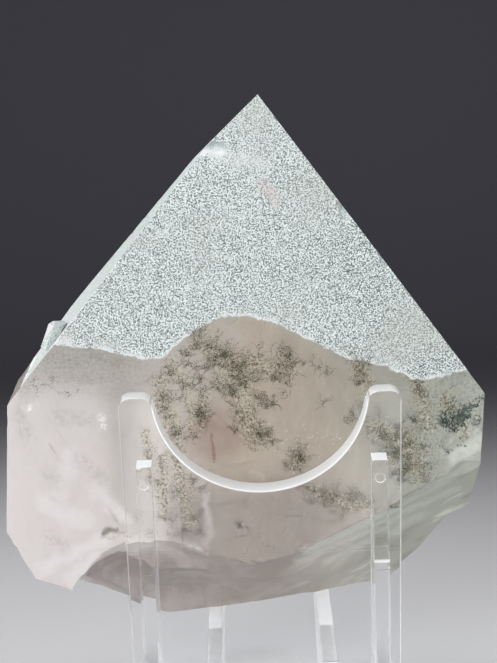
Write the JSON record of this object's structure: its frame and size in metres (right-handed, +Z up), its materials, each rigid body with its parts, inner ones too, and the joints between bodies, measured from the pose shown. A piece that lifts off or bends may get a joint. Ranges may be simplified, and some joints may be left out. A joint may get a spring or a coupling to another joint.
{
  "type": "quartz crystal",
  "caption": "Broad quartz point dusted with pale green chlorite, leaning on a clear moulded easel with a notched back plate, rear ribs and front arms; for display.",
  "frame": {"origin": "on the table, under the middle of the whole object's bounding box", "axes": "+Z up, -Y the rear of the stand with the crystal's broad face, +Y the side of the arms, +X to the right as seen from the rear"},
  "size_m": [0.0882, 0.069, 0.1157],
  "materials": {
    "quartz": "clear to milky crystal with a fine pale green speckled coat above",
    "clear_plastic": "clear moulded, polished"
  },
  "bodies": {
    "root": {"crystal": "quartz", "display_stand": "clear_plastic"}
  },
  "joints": []
}
